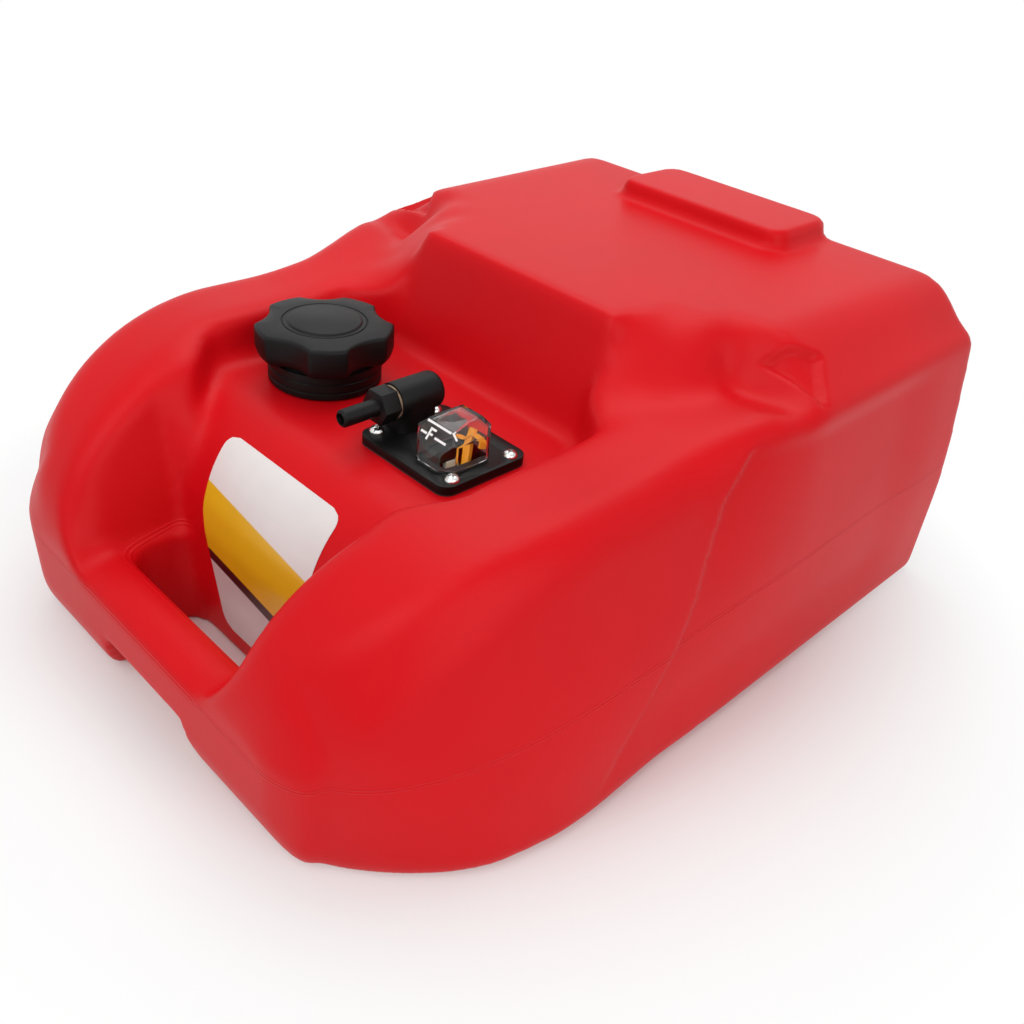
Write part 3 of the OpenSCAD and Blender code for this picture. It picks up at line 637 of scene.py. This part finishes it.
def fillerNeck():
    f = filler
    axis = at(f["x"], f["d"], 0)
    bore, mouth, radius, top, edge = (f[k] for k in ("bore", "mouth", "radius", "top", "chamfer"))
    bm = bmesh.new()
    lathe(bm, ((bore, f["foot"]), (bore, f["mouthFoot"]), (mouth, f["mouthFoot"] + f["mouthRise"]), (mouth, top - edge),
               (mouth + edge, top), (radius - edge, top), (radius, top - edge), (radius, f["foot"])), axis)
    # The thread is a three-cornered ridge that climbs as it turns.
    foot = axis + Vector((0, 0, f["threadFoot"] * mm))
    root = radius - f["sunk"]
    section = ((root, -f["ridge"]), (radius + f["thread"], 0), (root, f["ridge"]))
    ridge = [bm.verts.new(foot + Vector((r * mm, 0, z * mm))) for r, z in section]
    face = bm.faces.new(ridge)
    steps = f["steps"] * f["turns"]
    bmesh.ops.spin(bm, geom=ridge + list(face.edges) + [face], cent=axis, axis=(0, 0, 1),
                   angle=2 * math.pi * f["turns"], steps=steps, dvec=(0, 0, f["pitch"] * f["turns"] * mm / steps))
    bmesh.ops.recalc_face_normals(bm, faces=bm.faces)
    shadeSmooth(newObject("fillerNeck", bm, "tank", "tank_red"), 40)


fillerNeck()


def frontLabel():
    p = label
    columns, rows, arcs = p["columns"], p["rows"], p["arcs"]
    front = [mix(tank["roll"], tank["gapBack"], math.sin(math.radians(90 * i / arcs))) for i in range(arcs + 1)]
    path = [(d, floorAt(d)) for d in front if floorAt(d) <= p["top"]] + [(tank["gapBack"], p["bottom"])]
    path = resampled([Vector(q) for q in path], rows)
    length = sum((b - a).length for a, b in zip(path, path[1:]))
    bm = bmesh.new()
    bmesh.ops.create_grid(bm, x_segments=columns, y_segments=rows, size=1)
    uv = bm.loops.layers.uv.new("UVMap")
    place = {}
    for v in bm.verts:
        across, along = v.co.x, (1 - v.co.y) / 2
        d, z = path[min(rows, max(0, round(along * rows)))]
        if z > p["waist"]:
            half = mix(p["half"] - p["taper"], p["half"], (z - p["waist"]) / (p["top"] - p["waist"]))
        else:
            half = mix(p["foot"], p["half"] - p["taper"], (z - p["bottom"]) / (p["waist"] - p["bottom"]))
        for edge in (along * length, (1 - along) * length):
            if edge < p["corner"]:
                half -= p["corner"] * (1 - quarter(1 - edge / p["corner"]))
        place[v.index] = ((across + 1) / 2, along)
        v.co = at(across * half, d, z)
    for face in bm.faces:
        for loop in face.loops:
            loop[uv].uv = place[loop.vert.index]
    bmesh.ops.recalc_face_normals(bm, faces=bm.faces)
    sheet = newObject("frontLabel", bm, "tank", "label_print")
    wrap = sheet.modifiers.new("lay", "SHRINKWRAP")
    wrap.target = tankShell
    wrap.wrap_mode = "ABOVE_SURFACE"
    wrap.offset = (p["lift"] + p["thick"] / 2) * mm
    thick = sheet.modifiers.new("thick", "SOLIDIFY")
    thick.thickness = p["thick"] * mm
    thick.offset = 0
    applyModifiers(sheet)
    shadeSmooth(sheet, 50)
    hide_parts("tank_label")


frontLabel()
print("label laid")

# The cap: a lobed grip over a ringed collar, with its cup inside. The skirt and brow are insets and heights from the
# foot and the top.
cap = dict(radius=38, lobes=5, hollow=30, depth=5.5, angle=-33, foot=145, top=164, bore=29.6, ceiling=162.3, face=27,
           skirt=((5.5, 0), (2.6, 1.2), (0.9, 3.2), (0, 6.5)), brow=((0, -3), (0.25, -1.9), (0.9, -1.1), (1.8, -0.7)),
           ring=(23.6, 22.6, 0.5), ringDraft=0.3, disc=20, discRise=1, discRound=0.6, discSoft=0.3, steps=180)


def lobed(angle, inset):
    pitch = 360 / cap["lobes"]
    turn = (angle - cap["angle"]) % pitch - pitch / 2
    reach = cap["radius"] + cap["hollow"] - cap["depth"]
    radius = cap["radius"]
    across = reach * math.sin(math.radians(abs(turn)))
    if across < cap["hollow"]:
        radius = min(radius, reach * math.cos(math.radians(turn)) - math.sqrt(cap["hollow"] ** 2 - across ** 2))
    return radius - inset


def capGrip():
    c = cap
    count, top, disc = c["steps"], c["top"], c["disc"]
    edges = [(inset, c["foot"] + z) for inset, z in c["skirt"]] + [(inset, top + z) for inset, z in c["brow"]]
    rings = [[(lobed(360 * i / count, inset), z) for i in range(count)] for inset, z in edges]
    outer, inner, sink = c["ring"]
    for radius, z in ((c["face"], top), (outer, top), (outer - c["ringDraft"], top - sink),
                      (inner + c["ringDraft"], top - sink), (inner, top), (disc + c["discRound"], top),
                      (disc, top + c["discRise"] - c["discSoft"]), (disc - c["discRound"], top + c["discRise"])):
        rings.append([(radius, z)] * count)
    rings = [[(c["bore"], c["ceiling"])] * count, [(c["bore"], c["foot"])] * count] + rings
    bm = bmesh.new()
    middle = at(filler["x"], filler["d"], 0)
    spokes = [Vector((math.cos(2 * math.pi * i / count), math.sin(2 * math.pi * i / count), 0)) for i in range(count)]
    skin(bm, [[middle + (spoke * r + Vector((0, 0, z))) * mm for spoke, (r, z) in zip(spokes, ring)] for ring in rings])
    grip = newObject("capGrip", bm, "cap", "black_plastic")
    shadeSmooth(grip, 38)
    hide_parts("cap_shell")


capGrip()


# The cup's profile, as radius and height.
cup = dict(steps=96, profile=((26.2, 131), (30.9, 131), (31.5, 131.6), (31.5, 134.2), (30.9, 134.6), (30.9, 135.3),
                              (31.5, 135.7), (31.5, 139.6), (30.9, 140), (30.9, 140.7), (31.5, 141.1), (31.5, 145),
                              (29.5, 145), (29.5, 162.3), (4, 162.3), (4, 159), (26.2, 159)))


def capCup():
    bm = bmesh.new()
    lathe(bm, cup["profile"], at(filler["x"], filler["d"], 0), cup["steps"])
    insert = newObject("capCup", bm, "cap", "black_plastic")
    shadeSmooth(insert, 35)
    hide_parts("cap_insert")


capCup()


# The vent's spring: its CAD coil merged into a mesh of its own.
def ventSpring():
    bm = bmesh.new()
    bm.from_mesh(nodes["vent_spring"].data)
    bmesh.ops.remove_doubles(bm, verts=bm.verts, dist=2e-6)
    coil = newObject("ventSpring", bm, "cap", "spring_steel")
    shadeSmooth(coil, 40)
    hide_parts("vent_spring")
    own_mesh(coil)


ventSpring()
print("cap turned")

# Pickup plate, hose stub, screws and gauge.
softCopy("pickupPlate", "pickup_head", "tank", "black_plastic", 0.6)
softCopy("hoseStub", "hose_barb", "tank", "black_plastic", 0.4)
screw = dict(across=29, along=19.5, top=135.3, tip=-15.3, shank=2, head=4, height=2.8, slot=0.95, reach=4.6, sink=1.5,
             dome=((0, 0.5), (0.25, 1), (0.8, 1.9)), crown=((1.7, 0.3), (2.7, 0)), lean=25, leanStep=40, steps=40)


def plateScrews():
    s = screw
    bm, cross = bmesh.new(), bmesh.new()
    head, h = s["head"], s["height"]
    shank = [(0, s["tip"]), (s["shank"], s["tip"]), (s["shank"], 0), (head, 0)]
    profile = shank + [(head - r, z) for r, z in s["dome"]] + [(head - r, h - z) for r, z in s["crown"]] + [(0, h)]
    for i, (sx, sd) in enumerate(((-1, -1), (-1, 1), (1, -1), (1, 1))):
        place = at(sender["x"] + sx * s["across"], sender["d"] + sd * s["along"], s["top"])
        lathe(bm, profile, place, s["steps"])
        for turn in (0, 90):
            lean = Matrix.Rotation(math.radians(turn + s["lean"] + s["leanStep"] * i), 4, "Z")
            seat = Matrix.Translation(place + Vector((0, 0, h * mm)))
            block(cross, (s["reach"], s["slot"], 2 * s["sink"]), seat @ lean)
    heads = newObject("plateScrews", bm, "tank", "screw_steel")
    cutWith(heads, cross, True)
    shadeSmooth(heads, 35)
    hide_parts("plate_screws")


plateScrews()
softCopy("gaugeLens", "gauge_lens", "tank", "clear_lens", 0.35, 12)
# Each stroke is its middle, its width and its height on the slope.
dial = dict(x=55.5, d=330.5, z=146.1, run=7, rise=9.4, thick=0.16, side=9.2, turned=(2.2, 0, 4.4, 1.2),
            strokes=((-7, 5, 4.2, 1.2), (4.9, 5, 8, 1.2), (-3.6, 5.6, 1.2, 6.6), (-1.8, 8.3, 3.4, 1.2),
                     (-2.2, 5.6, 2.4, 1.2), (0, 11.1, 17, 1.2)))


# White marks on the lens: a line with a letter on the sloping front, and a line on the brow that turns down its bevel.
def dialMarks():
    m = dial
    up = Vector((0, m["run"], m["rise"])).normalized()
    out = Vector((0, -m["rise"], m["run"])).normalized()
    slope = Matrix((Vector((1, 0, 0)), up, out)).transposed().to_4x4()
    slope.translation = at(m["x"], m["d"], m["z"])
    bm = bmesh.new()
    across, along, face = Vector((1, 0, -1)).normalized(), Vector((0, 1, 0)), Vector((1, 0, 1)).normalized()
    bevel = Matrix((across, along, face)).transposed().to_4x4()
    bevel.translation = at(m["x"] + m["side"], m["d"] - m["run"], m["z"] + m["rise"])
    for (x, y, w, h), frameOf in [(stroke, slope) for stroke in m["strokes"]] + [(m["turned"], bevel)]:
        block(bm, (w, h, m["thick"]), frameOf @ Matrix.Translation(Vector((x, y, m["thick"] / 2)) * mm))
    marks = newObject("dialMarks", bm, "tank")
    marks.data.materials.append(dialWhite())


dialMarks()


# The pointer's hand: a bent ribbon that turns with the hub and shows through the lens.
ribbon = dict(pivot=(55.5, 310, 120.5), lean=20, width=4.4, thick=1.1, bend=1.2,
              path=((-9, 20.8), (-3.4, 20.8), (1.2, 25.6), (8.4, 24.6), (8.4, 21)))


def pointerRibbon():
    r = ribbon
    bm = bmesh.new()
    verts = [bm.verts.new((x * mm, -r["width"] / 2 * mm, z * mm)) for x, z in r["path"]]
    for pair in zip(verts, verts[1:]):
        bm.edges.new(pair)
    bmesh.ops.bevel(bm, geom=verts[1:-1], offset=r["bend"] * mm, offset_type="OFFSET", affect="VERTICES", segments=4,
                    profile=0.5, material=-1)
    grown = bmesh.ops.extrude_edge_only(bm, edges=bm.edges)["geom"]
    bmesh.ops.translate(bm, verts=[g for g in grown if isinstance(g, bmesh.types.BMVert)], vec=(0, r["width"] * mm, 0))
    bmesh.ops.recalc_face_normals(bm, faces=bm.faces)
    bmesh.ops.solidify(bm, geom=bm.faces[:], thickness=r["thick"] * mm)
    bmesh.ops.recalc_face_normals(bm, faces=bm.faces)
    turn = Matrix.Translation(at(*r["pivot"])) @ Matrix.Rotation(math.radians(-r["lean"]), 4, "X")
    bmesh.ops.transform(bm, matrix=turn, verts=bm.verts)
    shadeSmooth(newObject("pointerRibbon", bm, "gauge", "pointer_orange"), 40)


softCopy("gaugePointer", "gauge_pointer", "gauge", "pointer_orange", 0.25)
pointerRibbon()
print("plate fitted")

# Camera at the photo's angle.
view = dict(lens=36.4, sensor=36, azimuth=42.08, elevation=33.57, roll=6.41, place=(377, 621.4, 400))
az, el, roll = (math.radians(view[k]) for k in ("azimuth", "elevation", "roll"))
ahead = Vector((-math.sin(az) * math.cos(el), math.cos(az) * math.cos(el), -math.sin(el)))
level = ahead.cross(Vector((0, 0, 1))).normalized()
down = ahead.cross(level)
right = level * math.cos(roll) - down * math.sin(roll)
up = -(level * math.sin(roll) + down * math.cos(roll))
camera = bpy.data.objects.new("camera", bpy.data.cameras.new("camera"))
camera.data.lens = view["lens"]
camera.data.sensor_width = view["sensor"]
camera.matrix_world = Matrix((right, up, -ahead)).transposed().to_4x4()
camera.location = at(*view["place"])
scene.collection.objects.link(camera)
scene.camera = camera

# Floor, backdrop and lights: the floor keeps the shadow near the tank and turns to plain white farther out.
floorSize = dict(half=4, near=0.2, far=0.36, colour=(238, 238, 238))
bm = bmesh.new()
bmesh.ops.create_grid(bm, x_segments=4, y_segments=4, size=floorSize["half"])
floor = newObject("floor", bm)
paper = Finish("paper", floorSize["colour"], 0.9).vary(3, 0.01)
length = paper.add("ShaderNodeVectorMath", operation="LENGTH")
paper.link(paper.place, length.inputs[0])
fade = paper.spread(length.outputs["Value"], 0, 1, floorSize["near"], floorSize["far"])
rays = paper.add("ShaderNodeLightPath")
seen = paper.math("MAXIMUM", paper.math("MAXIMUM", rays.outputs["Is Camera Ray"], rays.outputs["Is Glossy Ray"]),
                  rays.outputs["Is Transmission Ray"])
glow = paper.add("ShaderNodeEmission")
blend = paper.add("ShaderNodeMixShader")
paper.link(paper.math("MULTIPLY", fade, seen), blend.inputs["Fac"])
paper.link(paper.shader.outputs[0], blend.inputs[1])
paper.link(glow.outputs[0], blend.inputs[2])
paper.link(blend.outputs[0], paper.tree.nodes["Material Output"].inputs["Surface"])
floor.data.materials.append(paper.done())

# Each lamp is its place, its size in metres and its power.
studio = dict(level=0.42, aim=(0, 230, 90), key=((-250, 0, 1100), 0.9, 5.7), front=((100, 1000, 900), 0.8, 4.1),
              side=((1100, 500, 600), 0.9, 4.4))
world = bpy.data.worlds.new("studio")
world.use_nodes = True
scene.world = world
tree = world.node_tree
background = tree.nodes["Background"]
background.inputs["Color"].default_value = (1, 1, 1, 1)
path = tree.nodes.new("ShaderNodeLightPath")
strength = tree.nodes.new("ShaderNodeMapRange")
strength.inputs["To Min"].default_value = studio["level"]
strength.inputs["To Max"].default_value = 1
seen = path.outputs["Is Camera Ray"]
for ray in ("Is Glossy Ray", "Is Transmission Ray"):
    either = tree.nodes.new("ShaderNodeMath")
    either.operation = "MAXIMUM"
    tree.links.new(seen, either.inputs[0])
    tree.links.new(path.outputs[ray], either.inputs[1])
    seen = either.outputs[0]
tree.links.new(seen, strength.inputs["Value"])
tree.links.new(strength.outputs["Result"], background.inputs["Strength"])
for name in ("key", "front", "side"):
    place, size, power = studio[name]
    lamp = bpy.data.lights.new(name, "AREA")
    lamp.size = size
    lamp.energy = power
    obj = bpy.data.objects.new(name, lamp)
    obj.location = at(*place)
    obj.rotation_euler = (at(*studio["aim"]) - obj.location).to_track_quat("-Z", "Y").to_euler()
    scene.collection.objects.link(obj)

scene.view_settings.view_transform = "Standard"
print("stage set")
